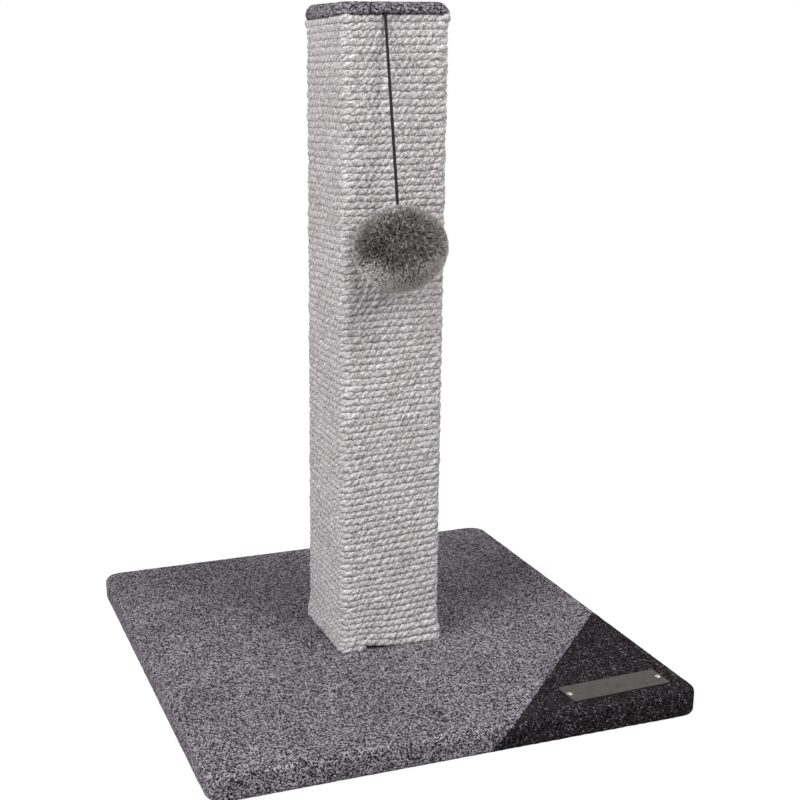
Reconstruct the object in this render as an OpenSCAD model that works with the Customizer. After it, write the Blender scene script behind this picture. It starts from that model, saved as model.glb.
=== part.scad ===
// Cat scratching post: a felt-covered base, a square post wound with rope, and a plush ball
// on an elastic cord. Millimetres, +Z up, the post's front face towards -Y. The origin is on
// the floor under the middle of the base.

/* [Base] */
// Width and depth of the base over its felt
base_w = 400; // [340:1:600]
// Corner radius of the base, seen from above
base_corner_r = 15; // [8:0.5:30]
// Rounding of the felt along the base's edges
base_edge_r = 4; // [2:0.1:6]
// Thickness of the base board
board_t = 15; // [12:0.5:25]
// Thickness of the felt on the base
felt_t = 3; // [1.5:0.1:4]
// Width of the felt folded under the base
hem_w = 40; // [30:1:60]
// Width of the slit in each folded corner
hem_slit_w = 1; // [0.5:0.1:3]

/* [Dark corner and plate] */
// Length of the dark corner along the base's edges
corner_leg = 160; // [120:1:190]
// Gap between the two felts at their seam
seam_gap = 0.2; // [0.1:0.05:1]
// Length of the name plate
plate_w = 88; // [50:0.5:95]
// Width of the name plate
plate_d = 24.8; // [15:0.1:30]
// Thickness of the name plate
plate_t = 1.2; // [0.5:0.1:2]
// Corner radius of the name plate
plate_r = 2; // [0.5:0.1:5]
// Distance of the plate's middle from the base's right edge
plate_from_right = 61.4; // [50:0.1:80]
// Distance of the plate's middle from the base's front edge
plate_from_front = 29.6; // [20:0.1:50]
// Turn of the plate, in degrees
plate_turn = 2; // [-5:0.5:5]
// Distance of each rivet from the plate's end
rivet_from_end = 3.3; // [2.5:0.1:10]
// Shank diameter of a rivet
rivet_d = 2.4; // [1.5:0.1:4]
// Shank length of a rivet under its head
rivet_l = 12; // [6:0.5:15]
// Head diameter of a rivet
rivet_head_d = 4.6; // [3:0.1:6]
// Head height of a rivet
rivet_head_h = 1; // [0.5:0.1:2]

/* [Hem staples] */
// Staples along each side of the base
staples_per_side = 4; // [2:1:6]
// Distance of a side's outer staples from the base's corners
staple_from_corner = 80; // [60:1:120]
// Distance of the staples from the base's edge
staple_from_edge = 25; // [15:1:30]
// Width of a staple
staple_w = 10; // [6:0.5:14]
// Length of a staple's legs
staple_l = 8; // [6:0.5:10]
// Width of the staple wire
staple_wire_w = 1.2; // [0.8:0.1:1.6]
// Thickness of the staple wire
staple_wire_t = 0.6; // [0.4:0.1:1]
// How far a staple's crown is sunk into the felt
staple_sink = 0.3; // [0.1:0.1:1]

/* [Post] */
// Width of the square cardboard tube
tube_w = 76; // [60:0.5:110]
// Height of the tube
tube_h = 512.5; // [450:0.5:700]
// Wall of the tube
tube_wall = 4; // [2:0.5:6]
// Outer corner radius of the tube
tube_r = 5; // [4.5:0.5:12]
// Gap between a plug and the tube's wall
plug_gap = 0.3; // [0.1:0.05:1]
// Height of the wooden plug at the foot
lower_plug_h = 36; // [25:0.5:37]
// Height of the wooden plug at the top
upper_plug_h = 20; // [16:0.5:50]
// Diameter of the nails that hold the plugs
nail_d = 2; // [1:0.1:3]
// Length of the nails that hold the plugs
nail_l = 20; // [12:0.5:22]
// Height of the nails above the foot of the lower plug, and below the top of the upper one
nail_in = 10; // [5:0.5:14]

/* [Rope] */
// Thickness of the rope, out from the tube
rope_t = 5.5; // [4:0.1:8]
// Height of one row of rope
rope_h = 5; // [4:0.1:5.05]
// Gap between the rope and the tube
rope_gap = 0.1; // [0.05:0.05:0.5]
// Gap above and below the winding
rope_end_gap = 0.3; // [0.1:0.05:1]
// Place of the rope's lower end on the front face, left of its middle
rope_end_left = 21.5; // [0:0.5:25]

/* [Base bolt] */
// Diameter of the bolt
bolt_d = 8; // [6:1:10]
// Length of the bolt under its head
bolt_l = 50; // [48:1:60]
// Width across the flats of the bolt head
bolt_head_w = 13; // [10:1:17]
// Height of the bolt head
bolt_head_h = 5.3; // [4:0.1:5.8]
// Diameter of the washer
washer_d = 30; // [20:1:32]
// Thickness of the washer
washer_t = 2; // [1:0.1:2.5]
// Diameter of the pocket under the board
pocket_d = 34; // [33:1:40]
// Depth of the pocket under the board
pocket_l = 8; // [7.5:0.5:9]
// Gap round the bolt in the board and the plug
bolt_gap = 0.5; // [0.2:0.1:1]
// Gap round the bolt in the washer
washer_gap = 0.2; // [0.1:0.05:0.5]
// Gap between the bolt and the tee nut's thread
thread_gap = 0.05; // [0.02:0.01:0.1]
// Diameter of the tee nut's barrel
nut_barrel_d = 10; // [9.5:0.1:13]
// Length of the tee nut's barrel
nut_barrel_l = 11; // [6:0.5:16]
// Diameter of the tee nut's flange
nut_flange_d = 22; // [18:0.5:28]
// Thickness of the tee nut's flange
nut_flange_t = 1.6; // [1:0.1:2]
// Number of prongs on the tee nut
prongs = 4; // [3:1:6]
// Width of a prong
prong_w = 3; // [2:0.1:4]
// Thickness of a prong
prong_t = 1; // [0.6:0.1:1.6]
// Length of a prong
prong_l = 6; // [4:0.5:10]

/* [Cap] */
// How far the cap board reaches past the tube on each side
cap_board_over = 0.5; // [-3:0.1:2]
// Thickness of the cap board
cap_board_t = 6; // [5.5:0.5:10]
// Thickness of the felt on the cap
cap_felt_t = 3; // [1.5:0.1:4]
// Corner radius of the cap over its felt
cap_corner_r = 9; // [6:0.5:14]
// Rounding of the felt along the cap's top edge
cap_edge_r = 5; // [2:0.1:6]
// Diameter of the cap screws
screw_d = 3.5; // [3:0.1:5]
// Length of the cap screws
screw_l = 20; // [14:0.5:22]
// Head diameter of the cap screws
screw_head_d = 7; // [6:0.1:9]
// Head height of the cap screws
screw_head_h = 2.4; // [1.5:0.1:3]
// Distance between the cap screws
screw_pitch = 40; // [24:1:50]

/* [Toy] */
// Diameter of the elastic cord
cord_d = 2.4; // [1.5:0.1:3.5]
// Place of the cord left of the middle of the front face
cord_left = 10.5; // [-20:0.5:20]
// Gap between the cord and what it passes
cord_gap = 0.1; // [0.05:0.05:0.5]
// Length of the cord's tail under the cap board
tail_l = 26; // [18:0.5:40]
// Diameter of the flattened knot at the tail's end
tail_knot_d = 6; // [4:0.1:10]
// Thickness of the flattened knot
tail_knot_t = 3.2; // [2:0.1:4]
// Largest diameter of the plush ball
ball_d = 71.2; // [55:0.2:90]
// Height of the plush ball along its cord
ball_h = 64.6; // [54:0.2:80]
// Diameter of the foam core
core_d = 52; // [30:0.5:53]
// Diameter of the knot inside the ball
knot_d = 7; // [5:0.1:12]
// Gap between the resting ball and the rope
ball_rest_gap = 0.3; // [0.2:0.05:1]
// Gap between the core, the plush and the knot
core_gap = 0.3; // [0.1:0.05:0.5]

/* [Hidden] */
$fn = 72;
// What cuts run past the solids that they cut
over = 2;
// Facet counts and shares of shapes
rope_turns = [23.25, 23.25, 23, 23];
rope_out_shares = [0, 1, 1, 0, -1, -1];
rope_up_shares = [1, 0.5, -0.5, -1, -0.5, 0.5];
cord_sides = 8;
ball_bands = 28;
// The free cord's route, down from its bend, in the cord's own frame
CORD_ROUTE = [
    [0, 0, -1.4], [0, 0, -8], [0, 0, -15], [0, 0, -22], [0, 0, -29], [0, 0, -36], [0, 0, -43],
    [0, 0, -50], [0, 0, -57], [0, 0, -64], [0, 0, -71], [0, 0, -78], [0, 0, -85], [0, 0, -92],
    [0, 0, -99], [0, 0, -106], [0, 0, -113], [0, 0, -120], [0, 0, -127], [0, 0, -134], [0, 0, -142]
];
cord_l = -CORD_ROUTE[len(CORD_ROUTE) - 1][2];

// Levels, upwards
board_z = felt_t;
board_top = board_z + board_t;
base_top = board_top + felt_t;
bolt_seat = board_z + pocket_l;
head_top = bolt_seat - washer_t;
plug_top = base_top + lower_plug_h;
tube_top = base_top + tube_h;
cap_board_top = tube_top + cap_board_t;
cap_top = cap_board_top + cap_felt_t;

board_w = base_w - 2 * felt_t;
board_r = max(base_corner_r - felt_t, felt_t);
staple_pitch = (base_w - 2 * staple_from_corner) / (staples_per_side - 1);
plate_x = base_w / 2 - plate_from_right;
plate_y = plate_from_front - base_w / 2;
plug_w = tube_w - 2 * tube_wall - 2 * plug_gap;
plug_r = tube_r - tube_wall - plug_gap;
cap_board_w = tube_w + 2 * cap_board_over;
cap_w = cap_board_w + 2 * cap_felt_t;
cap_board_r = cap_corner_r - cap_felt_t;

// The rope's middle line: an octagon that touches the rounded square round the tube
corner_mid = tube_w / 2 - tube_r;
bend_r = tube_r + rope_gap + rope_t / 2;
rope_mid = corner_mid + bend_r;
rope_face = rope_mid + rope_t / 2;
half_run = corner_mid + bend_r * tan(22.5);
bend_run = bend_r * (1 - tan(22.5)) * sqrt(2);
turn_run = 8 * half_run + 4 * bend_run;
all_turns = sum(rope_turns, len(rope_turns));
rope_pitch = (tube_h - 2 * rope_end_gap - rope_h) / all_turns;

// The toy hangs from its bend over the top row of rope, and leans out by the ball's radius
bend_z = tube_top + cord_gap + cord_d / 2;
bend_y = -rope_face - cord_gap - cord_d / 2;
tail_y = bend_y + cord_d / 2 + cord_gap;
tail_knot_z = bend_z - cord_d / 3;
ball_reach = cord_l + ball_h / 2;
lean = asin((rope_face + ball_rest_gap + ball_d / 2 + bend_y) / ball_reach);

function sum(v, n) = n == 0 ? 0 : v[n - 1] + sum(v, n - 1);
function heading(a) = [cos(a), sin(a)];

// A ring of the rope's section at a place on the plan, stretched outwards by share
function rope_ring(at, out, share, z) = [
    for (i = [0 : len(rope_out_shares) - 1])
    let (p = at + out * rope_out_shares[i] * share * rope_t / 2)
    [p[0], p[1], z + rope_up_shares[i] * rope_h / 2]
];
// The length of rope from the middle of the front face to a corner of the octagon
function corner_run(g) = half_run + floor(g / 2) * (2 * half_run + bend_run) + (g % 2) * bend_run;
function rope_z(run) =
    base_top + rope_end_gap + rope_h / 2 + rope_pitch * (run - rope_end_left) / turn_run;
function corner_ring(g) =
    let (mid = corner_mid * sqrt(2) * heading(225 - 90 * floor(g / 2)), out = heading(247.5 - 45 * g))
    rope_ring(mid + out * bend_r / cos(22.5), out, 1 / cos(22.5), rope_z(corner_run(g)));
function face_ring(run) =
    let (k = round(run / (2 * half_run + bend_run)), t = run - k * (2 * half_run + bend_run))
    rope_ring(rope_mid * heading(270 - 90 * k) + t * heading(180 - 90 * k), heading(270 - 90 * k), 1,
        rope_z(run));
function section_start(k) = rope_end_left + turn_run * sum(rope_turns, k);
function section_rings(k) =
    let (from = section_start(k), to = section_start(k + 1))
    concat(
        [face_ring(from)],
        [for (g = [0 : ceil(8 * all_turns) + 8]) if (corner_run(g) > from && corner_run(g) < to) corner_ring(g)],
        [face_ring(to)]
    );
// The least distance between the points of each ring and those one turn further up
function least_gap(rings) = min([
    for (i = [1 : len(rings) - 10])
    for (p = rings[i])
    for (q = rings[i + 8])
    norm(p - q)
]);

function cord_rings() = [
    for (p = CORD_ROUTE)
    [for (i = [0 : cord_sides - 1]) p + cord_d / 2 * [cos(360 * i / cord_sides), sin(360 * i / cord_sides), 0]]
];

// A closed tube through rings of points, in triangles
module tube_through(rings) {
    n = len(rings[0]);
    last = len(rings) - 1;
    sides = [
        for (r = [0 : last - 1])
        for (i = [0 : n - 1])
        let (a = r * n + i, b = r * n + (i + 1) % n)
        each [[a, b, b + n], [a, b + n, a + n]]
    ];
    ends = [for (i = [1 : n - 2]) each [[0, i + 1, i], [last * n, last * n + i, last * n + i + 1]]];
    polyhedron(points = [for (r = rings) each r], faces = concat(sides, ends), convexity = 10);
}

// The section of a slab's rim, with its outer edges rounded
module rim_section(r, h, top_r, foot_r) {
    difference() {
        square([r, h]);
        if (top_r > 0) translate([r - top_r, h - top_r]) difference() {
            square([top_r + over, top_r + over]);
            circle(r = top_r);
        }
        if (foot_r > 0) translate([r - foot_r, -over]) difference() {
            square([foot_r + over, foot_r + over]);
            translate([0, foot_r + over]) circle(r = foot_r);
        }
    }
}

// A square slab with rounded corners, standing on z = 0
module slab(w, h, r, top_r = 0, foot_r = 0) {
    side = w - 2 * r;
    translate([-side / 2, -side / 2, 0]) cube([side, side, h]);
    for (a = [0 : 90 : 270]) rotate(a) {
        translate([side / 2, side / 2, 0]) {
            rotate([90, 0, 0]) linear_extrude(side) rim_section(r, h, top_r, foot_r);
            rotate_extrude(angle = 90) rim_section(r, h, top_r, foot_r);
        }
    }
}

module disc(d, z1, z2) {
    translate([0, 0, z1]) cylinder(d = d, h = z2 - z1);
}

module dome(d, h) {
    r = (d * d / 4 + h * h) / (2 * h);
    rotate_extrude() intersection() {
        translate([0, h - r]) circle(r = r);
        square([d / 2, h]);
    }
}

module at_rivets() {
    translate([plate_x, plate_y, 0]) rotate(plate_turn)
        for (side = [-1, 1]) translate([side * (plate_w / 2 - rivet_from_end), 0, 0]) children();
}

module at_staples() {
    for (a = [0 : 90 : 270]) rotate(a) {
        for (i = [0 : staples_per_side - 1]) {
            along = (i - (staples_per_side - 1) / 2) * staple_pitch;
            translate([along, staple_from_edge - base_w / 2, staple_sink]) children();
        }
    }
}

module staple() {
    translate([-staple_w / 2, -staple_wire_w / 2, 0]) {
        cube([staple_w, staple_wire_w, staple_wire_t]);
        cube([staple_wire_t, staple_wire_w, staple_l]);
        translate([staple_w - staple_wire_t, 0, 0]) cube([staple_wire_t, staple_wire_w, staple_l]);
    }
}

// The nails go through the middle of each wall of the tube
module at_nails() {
    for (a = [0 : 90 : 270]) rotate(a) {
        for (z = [base_top + nail_in, tube_top - nail_in]) {
            translate([tube_w / 2, 0, z]) rotate([0, -90, 0]) children();
        }
    }
}

module nail() {
    cylinder(d = nail_d, h = nail_l);
}

module at_prongs() {
    for (i = [0 : prongs - 1]) rotate(45 + 360 * i / prongs)
        translate([nut_flange_d / 2 - prong_t, -prong_w / 2, plug_top - prong_l]) children();
}

module prong() {
    cube([prong_t, prong_w, prong_l]);
}

// The screws stand on a diagonal, clear of the nails and of the cord's knot
module at_screws() {
    for (a = [135, 315]) rotate(a) translate([screw_pitch / 2, 0, cap_board_top]) children();
}

// A countersunk screw hanging from z = 0, or with a gap the hole for it
module screw(gap = 0) {
    tip = screw_d;
    translate([0, 0, -screw_head_h]) cylinder(d1 = screw_d + 2 * gap, d2 = screw_head_d + 2 * gap, h = screw_head_h);
    translate([0, 0, tip - screw_l]) cylinder(d = screw_d + 2 * gap, h = screw_l - tip);
    translate([0, 0, -screw_l - gap]) cylinder(d1 = gap, d2 = screw_d + 2 * gap, h = tip + gap);
}

module base_board_shape() {
    translate([0, 0, board_z]) slab(board_w, board_t, board_r);
}

module cap_board_shape() {
    translate([0, 0, tube_top]) slab(cap_board_w, cap_board_t, cap_board_r);
}

// All that lies beyond the seam across the right front corner
module beyond_seam(leg) {
    half = base_w / 2;
    translate([0, 0, -over]) linear_extrude(base_top + 2 * over) polygon([
        [half - leg - over, -half - over], [half + over, -half - over], [half + over, leg + over - half]
    ]);
}

// The felt round the base, folded under the board
module base_wrap() {
    difference() {
        slab(base_w, base_top, base_corner_r, base_edge_r, base_edge_r);
        base_board_shape();
        translate([0, 0, -over]) slab(base_w - 2 * hem_w, board_z + 2 * over, board_r);
        disc(bolt_d + 2 * bolt_gap, board_top - over, base_top + over);
        for (a = [45 : 90 : 315]) rotate(a) translate([0, -hem_slit_w / 2, -over]) {
            cube([(base_w / 2 - felt_t - board_r / 2) * sqrt(2), hem_slit_w, board_z + over]);
        }
        at_staples() staple();
        at_rivets() disc(rivet_d, board_top - over, base_top + over);
    }
}

// The groove under the cap board for the cord's tail and its knot
module tail_groove() {
    w = cord_d + 2 * cord_gap;
    translate([-cord_left - w / 2, tail_y - over, tube_top - over]) cube([w, tail_l + over, w + over]);
    translate([-cord_left, tail_y + tail_l, tube_top - over]) {
        cylinder(d = tail_knot_d + 2 * cord_gap, h = over + tail_knot_z + tail_knot_t + cord_gap - tube_top);
    }
}

// The toy's own frame: the cord's bend at its origin, the cord down along -Z
module in_toy_frame() {
    translate([-cord_left, bend_y, bend_z]) rotate([-lean, 0, 0]) children();
}

module base_board() {
    color("tan") difference() {
        base_board_shape();
        disc(pocket_d, -over, bolt_seat);
        disc(bolt_d + 2 * bolt_gap, 0, base_top);
        at_staples() staple();
        at_rivets() disc(rivet_d, base_top + plate_t - rivet_l, base_top);
    }
}

module base_felt() {
    color("#6b6a6e") difference() {
        base_wrap();
        beyond_seam(corner_leg + seam_gap * sqrt(2));
    }
}

module corner_felt() {
    color("#2b2a2e") intersection() {
        base_wrap();
        beyond_seam(corner_leg);
    }
}

module hem_staples() {
    color("silver") at_staples() staple();
}

module name_plate() {
    side = plate_w - 2 * plate_r;
    color("#55534f") difference() {
        translate([plate_x, plate_y, base_top]) rotate(plate_turn) {
            translate([-side / 2, -plate_d / 2, 0]) cube([side, plate_d, plate_t]);
            for (side_x = [-1, 1]) translate([side_x * side / 2, 0, 0]) {
                translate([-plate_r, plate_r - plate_d / 2, 0]) cube([2 * plate_r, plate_d - 2 * plate_r, plate_t]);
                for (side_y = [-1, 1]) translate([0, side_y * (plate_d / 2 - plate_r), 0]) {
                    cylinder(r = plate_r, h = plate_t);
                }
            }
        }
        at_rivets() disc(rivet_d, base_top - over, base_top + plate_t + over);
    }
}

module plate_rivets() {
    color("gainsboro") at_rivets() {
        disc(rivet_d, base_top + plate_t - rivet_l, base_top + plate_t);
        translate([0, 0, base_top + plate_t]) dome(rivet_head_d, rivet_head_h);
    }
}

module base_bolt() {
    color("silver") {
        translate([0, 0, head_top - bolt_head_h]) cylinder(d = bolt_head_w / cos(30), h = bolt_head_h, $fn = 6);
        disc(bolt_d, head_top, head_top + bolt_l);
    }
}

module bolt_washer() {
    color("lightgray") difference() {
        disc(washer_d, head_top, bolt_seat);
        disc(bolt_d + 2 * washer_gap, head_top - over, bolt_seat + over);
    }
}

module tee_nut() {
    color("silver") difference() {
        union() {
            disc(nut_barrel_d, plug_top - nut_barrel_l, plug_top);
            disc(nut_flange_d, plug_top, plug_top + nut_flange_t);
            at_prongs() prong();
        }
        disc(bolt_d + 2 * thread_gap, plug_top - nut_barrel_l - over, plug_top + nut_flange_t + over);
    }
}

module lower_plug() {
    color("burlywood") difference() {
        translate([0, 0, base_top]) slab(plug_w, lower_plug_h, plug_r);
        disc(bolt_d + 2 * bolt_gap, base_top - over, plug_top + over);
        disc(nut_barrel_d, plug_top - nut_barrel_l, plug_top + over);
        at_prongs() prong();
        at_nails() nail();
    }
}

module post_tube() {
    color("peru") difference() {
        translate([0, 0, base_top]) slab(tube_w, tube_h, tube_r);
        translate([0, 0, base_top - over]) slab(tube_w - 2 * tube_wall, tube_h + 2 * over, tube_r - tube_wall);
        at_nails() nail();
    }
}

module upper_plug() {
    color("burlywood") difference() {
        translate([0, 0, tube_top - upper_plug_h]) slab(plug_w, upper_plug_h, plug_r);
        at_nails() nail();
        at_screws() screw(cord_gap);
    }
}

module plug_nails() {
    color("silver") at_nails() nail();
}

module rope_section(k) {
    color("#bdb9b7") tube_through(section_rings(k));
}

module rope_winding_bottom() {
    rope_section(0);
}

module rope_winding_lower() {
    rope_section(1);
}

module rope_winding_upper() {
    rope_section(2);
}

module rope_winding_top() {
    rope_section(3);
}

module cap_board() {
    color("tan") difference() {
        cap_board_shape();
        at_screws() screw(cord_gap);
        tail_groove();
    }
}

module cap_felt() {
    color("#6b6a6e") difference() {
        translate([0, 0, tube_top]) slab(cap_w, cap_top - tube_top, cap_corner_r, cap_edge_r);
        cap_board_shape();
        tail_groove();
    }
}

module cap_screws() {
    color("silver") at_screws() screw();
}

module cord_tail() {
    color("#1c1b1d") {
        translate([-cord_left, tail_y, bend_z]) rotate([-90, 0, 0]) cylinder(d = cord_d, h = tail_l);
        translate([-cord_left, tail_y + tail_l, tail_knot_z]) cylinder(d = tail_knot_d, h = tail_knot_t);
    }
}

module cord_bend() {
    color("#1c1b1d") in_toy_frame() sphere(d = cord_d);
}

module toy_cord() {
    color("#1c1b1d") in_toy_frame() tube_through(cord_rings());
}

module cord_knot() {
    color("#1c1b1d") in_toy_frame() translate([0, 0, -ball_reach]) {
        cylinder(d = cord_d, h = ball_h / 2);
        sphere(d = knot_d);
    }
}

module cord_hole() {
    cylinder(d = cord_d + 2 * core_gap, h = ball_h);
}

module ball_core() {
    color("wheat") in_toy_frame() translate([0, 0, -ball_reach]) difference() {
        sphere(d = core_d);
        sphere(d = knot_d + 2 * core_gap);
        cord_hole();
    }
}

module ball_fur() {
    arc = [for (i = [0 : ball_bands]) -90 + 180 * i / ball_bands];
    color("#77746e") in_toy_frame() translate([0, 0, -ball_reach]) difference() {
        rotate_extrude() polygon([for (a = arc) [abs(a) == 90 ? 0 : ball_d / 2 * cos(a), ball_h / 2 * sin(a)]]);
        sphere(d = core_d + 2 * core_gap);
        cord_hole();
    }
}

echo(least_rope_gap = min([for (k = [0 : len(rope_turns) - 1]) least_gap(section_rings(k))]));
echo(rope_pitch = rope_pitch, lean = lean, bend = [-cord_left, bend_y, bend_z], reach = ball_reach);

base_board();
base_felt();
corner_felt();
hem_staples();
name_plate();
plate_rivets();
base_bolt();
bolt_washer();
tee_nut();
lower_plug();
post_tube();
upper_plug();
plug_nails();
rope_winding_bottom();
rope_winding_lower();
rope_winding_upper();
rope_winding_top();
cap_board();
cap_felt();
cap_screws();
cord_tail();
cord_bend();
toy_cord();
cord_knot();
ball_core();
ball_fur();
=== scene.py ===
import math
import bpy
import numpy as np
from mathutils import Euler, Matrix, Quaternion


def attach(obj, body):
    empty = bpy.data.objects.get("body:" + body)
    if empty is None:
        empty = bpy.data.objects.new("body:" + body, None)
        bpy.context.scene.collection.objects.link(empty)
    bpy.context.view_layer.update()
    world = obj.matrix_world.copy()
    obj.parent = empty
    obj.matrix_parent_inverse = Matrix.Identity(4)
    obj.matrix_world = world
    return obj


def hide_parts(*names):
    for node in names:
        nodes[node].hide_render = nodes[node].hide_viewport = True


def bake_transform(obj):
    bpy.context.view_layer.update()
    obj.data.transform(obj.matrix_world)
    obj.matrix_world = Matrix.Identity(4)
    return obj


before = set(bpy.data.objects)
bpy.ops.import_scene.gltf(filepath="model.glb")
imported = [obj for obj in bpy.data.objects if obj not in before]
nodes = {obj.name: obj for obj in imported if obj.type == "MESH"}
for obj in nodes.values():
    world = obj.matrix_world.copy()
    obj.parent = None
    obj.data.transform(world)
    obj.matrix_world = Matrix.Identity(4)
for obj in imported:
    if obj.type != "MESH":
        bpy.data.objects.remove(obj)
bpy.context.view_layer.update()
MM = 0.001
UP = np.array([0.0, 0.0, 1.0])


# ---- Camera and light -----------------------------------------------------------------------
# The camera stands where the photograph's did, as fitted to the edges of the base and the post.
# The photograph is an off-centre crop, so the lens is shifted a little. Three soft boxes, the
# left one strongest, and a dim white room light the post, and a pale floor carries it.
photo_px = 800
focal_px = 1332.4
middle_px = 314.6
sensor_w = 36
yaw, pitch, roll = 0.331, 0.257, -0.005
camera_at = (-0.3969, -1.0032, 0.5091)
bpy.ops.object.camera_add(location=camera_at)
camera = bpy.context.object
camera.data.sensor_width = sensor_w
camera.data.lens = sensor_w * focal_px / photo_px
camera.data.shift_x = 0.5 - middle_px / photo_px
look = Euler((math.pi / 2 - pitch, 0, -yaw)).to_quaternion() @ Quaternion((0, 0, 1), roll)
camera.rotation_euler = look.to_euler()
bpy.context.scene.camera = camera
bpy.context.scene.view_settings.view_transform = "Standard"


def add(tree, kind, settings=None, **inputs):
    """A shader node. An input is a number, a colour or another node's output."""
    made = tree.nodes.new("ShaderNode" + kind)
    for name, value in (settings or {}).items():
        setattr(made, name, value)
    for name, value in inputs.items():
        socket = made.inputs[int(name[2:]) if name.startswith("in") else name.replace("_", " ")]
        if isinstance(value, bpy.types.NodeSocket):
            tree.links.new(value, socket)
        else:
            socket.default_value = value
    return made.outputs


def seen_ray(tree):
    """1 on rays from the camera and on those that a reflection or a glass sends on."""
    path = add(tree, "LightPath")
    either = add(tree, "Math", {"operation": "MAXIMUM"}, in0=path["Is Camera Ray"],
                 in1=path["Is Glossy Ray"])[0]
    return add(tree, "Math", {"operation": "MAXIMUM"}, in0=either, in1=path["Is Transmission Ray"])[0]


room_light = 0.05
world = bpy.data.worlds.new("room")
bpy.context.scene.world = world
world.use_nodes = True
tree = world.node_tree
tree.nodes.clear()
lit = add(tree, "Background", Color=(1, 1, 1, 1), Strength=room_light)[0]
shown = add(tree, "Background", Color=(1, 1, 1, 1), Strength=1)[0]
mixed = add(tree, "MixShader", in0=seen_ray(tree), in1=lit, in2=shown)[0]
add(tree, "OutputWorld", Surface=mixed)

floor_w = 12
floor_drop = 0.3 * MM
floor_shadow = 0.45
paper_grey = 0.45
near, far = 0.3, 1.1
white_near, white_far = 1.6, 1.9
bpy.ops.mesh.primitive_plane_add(size=floor_w, location=(0, 0, -floor_drop))
floor = bpy.context.object
floor.name = "floor"
paper = bpy.data.materials.new("paper")
paper.use_nodes = True
tree = paper.node_tree
tree.nodes.clear()
plain = add(tree, "BsdfDiffuse", Color=(paper_grey, paper_grey, paper_grey, 1))[0]
from_post = add(tree, "VectorMath", {"operation": "LENGTH"}, in0=add(tree, "TexCoord")["Object"])["Value"]
whiter = add(tree, "MapRange", Value=from_post, From_Min=near, From_Max=far, To_Min=white_near,
             To_Max=white_far)["Result"]
white = add(tree, "Emission", Color=(1, 1, 1, 1), Strength=whiter)[0]
share = add(tree, "Math", {"operation": "MULTIPLY"}, in0=seen_ray(tree), in1=1 - floor_shadow)[0]
pale = add(tree, "MixShader", in0=share, in1=plain, in2=white)[0]
clear = add(tree, "BsdfTransparent")[0]
below = add(tree, "NewGeometry")["Backfacing"]
add(tree, "OutputMaterial", Surface=add(tree, "MixShader", in0=below, in1=pale, in2=clear)[0])
floor.data.materials.append(paper)

aim_h = 0.25
for name, place, size, watts in (
    ("soft_box_left", (-1.9, -0.9, 1.6), 1.2, 62),
    ("soft_box_front", (0.9, -1.8, 1.9), 1.2, 43),
    ("soft_box_right", (2.0, -0.6, 1.0), 1.2, 9),
):
    bpy.ops.object.light_add(type="AREA", location=place)
    lamp = bpy.context.object
    lamp.name = name
    lamp.data.size = size
    lamp.data.energy = watts
    aim = -np.array(place) + UP * aim_h
    heading = math.atan2(aim[1], aim[0]) - math.pi / 2
    lamp.rotation_euler = (math.pi / 2 + math.atan2(aim[2], math.hypot(*aim[:2])), 0, heading)


# ---- Elastic cord ---------------------------------------------------------------------------
# The ball hangs on a thin black elastic cord with a braided polyester cover. It comes out under
# the cap's felt, bends over the top row of rope and runs straight down into the ball.
cord_d = 2.4 * MM
cord_left = 10.5 * MM
cord_free = 142 * MM
lean = math.radians(11.4497)
bend_at = np.array([-cord_left, -44.9 * MM, 534.8 * MM])
cord_down = np.array([0, -math.sin(lean), -math.cos(lean)])
cord_out = np.array([0, -math.cos(lean), math.sin(lean)])
cord_side = np.array([1.0, 0, 0])


def mesh_piece(name, points, faces):
    """A piece from points in metres, in the CAD's frame, and faces that point outwards."""
    mesh = bpy.data.meshes.new(name)
    mesh.from_pydata(np.asarray(points).reshape(-1, 3).tolist(), [], [list(f) for f in faces])
    mesh.polygons.foreach_set("use_smooth", [True] * len(mesh.polygons))
    mesh.update()
    piece = bpy.data.objects.new(name, mesh)
    bpy.context.scene.collection.objects.link(piece)
    return piece


def loft(name, rings, along, around):
    """A closed tube through rings of points, with its UV map: along it, and around it."""
    rows, sides = len(rings), len(rings[0])
    i, j = np.meshgrid(np.arange(rows - 1), np.arange(sides), indexing="ij")
    a, b = i * sides + j, i * sides + (j + 1) % sides
    quads = np.stack([a, b, b + sides, a + sides], -1).reshape(-1, 4)
    last = (rows - 1) * sides
    ends = [list(range(sides - 1, -1, -1)), list(range(last, last + sides))]
    piece = mesh_piece(name, rings, quads.tolist() + ends)
    wide = np.append(around, 1.0)
    uv = np.stack([
        np.stack([along[i], wide[j]], -1), np.stack([along[i], wide[j + 1]], -1),
        np.stack([along[i + 1], wide[j + 1]], -1), np.stack([along[i + 1], wide[j]], -1),
    ], 2).reshape(-1, 2)
    tail = np.zeros((2 * sides, 2))
    piece.data.uv_layers.new(name="UVMap").data.foreach_set("uv", np.vstack([uv, tail]).ravel())
    return piece


def new_material(name, **shader):
    """A material whose Principled shader has these constant values."""
    material = bpy.data.materials.new(name)
    material.use_nodes = True
    surface = material.node_tree.nodes["Principled BSDF"]
    for socket, value in shader.items():
        surface.inputs[socket.replace("_", " ")].default_value = value
    return material, material.node_tree, surface.inputs


def ramp(tree, factor, *stops):
    """A colour ramp through (place, (r, g, b)) stops."""
    made = tree.nodes.new("ShaderNodeValToRGB")
    while len(made.color_ramp.elements) < len(stops):
        made.color_ramp.elements.new(0.5)
    for element, (place, colour) in zip(made.color_ramp.elements, stops):
        element.position = place
        element.color = (*colour, 1)
    tree.links.new(factor, made.inputs[0])
    return made.outputs[0]


def bump(tree, height, strength, distance):
    """Small hills in the surface, up to distance high in metres."""
    return add(tree, "Bump", Strength=strength, Distance=distance, Height=height)[0]


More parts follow.
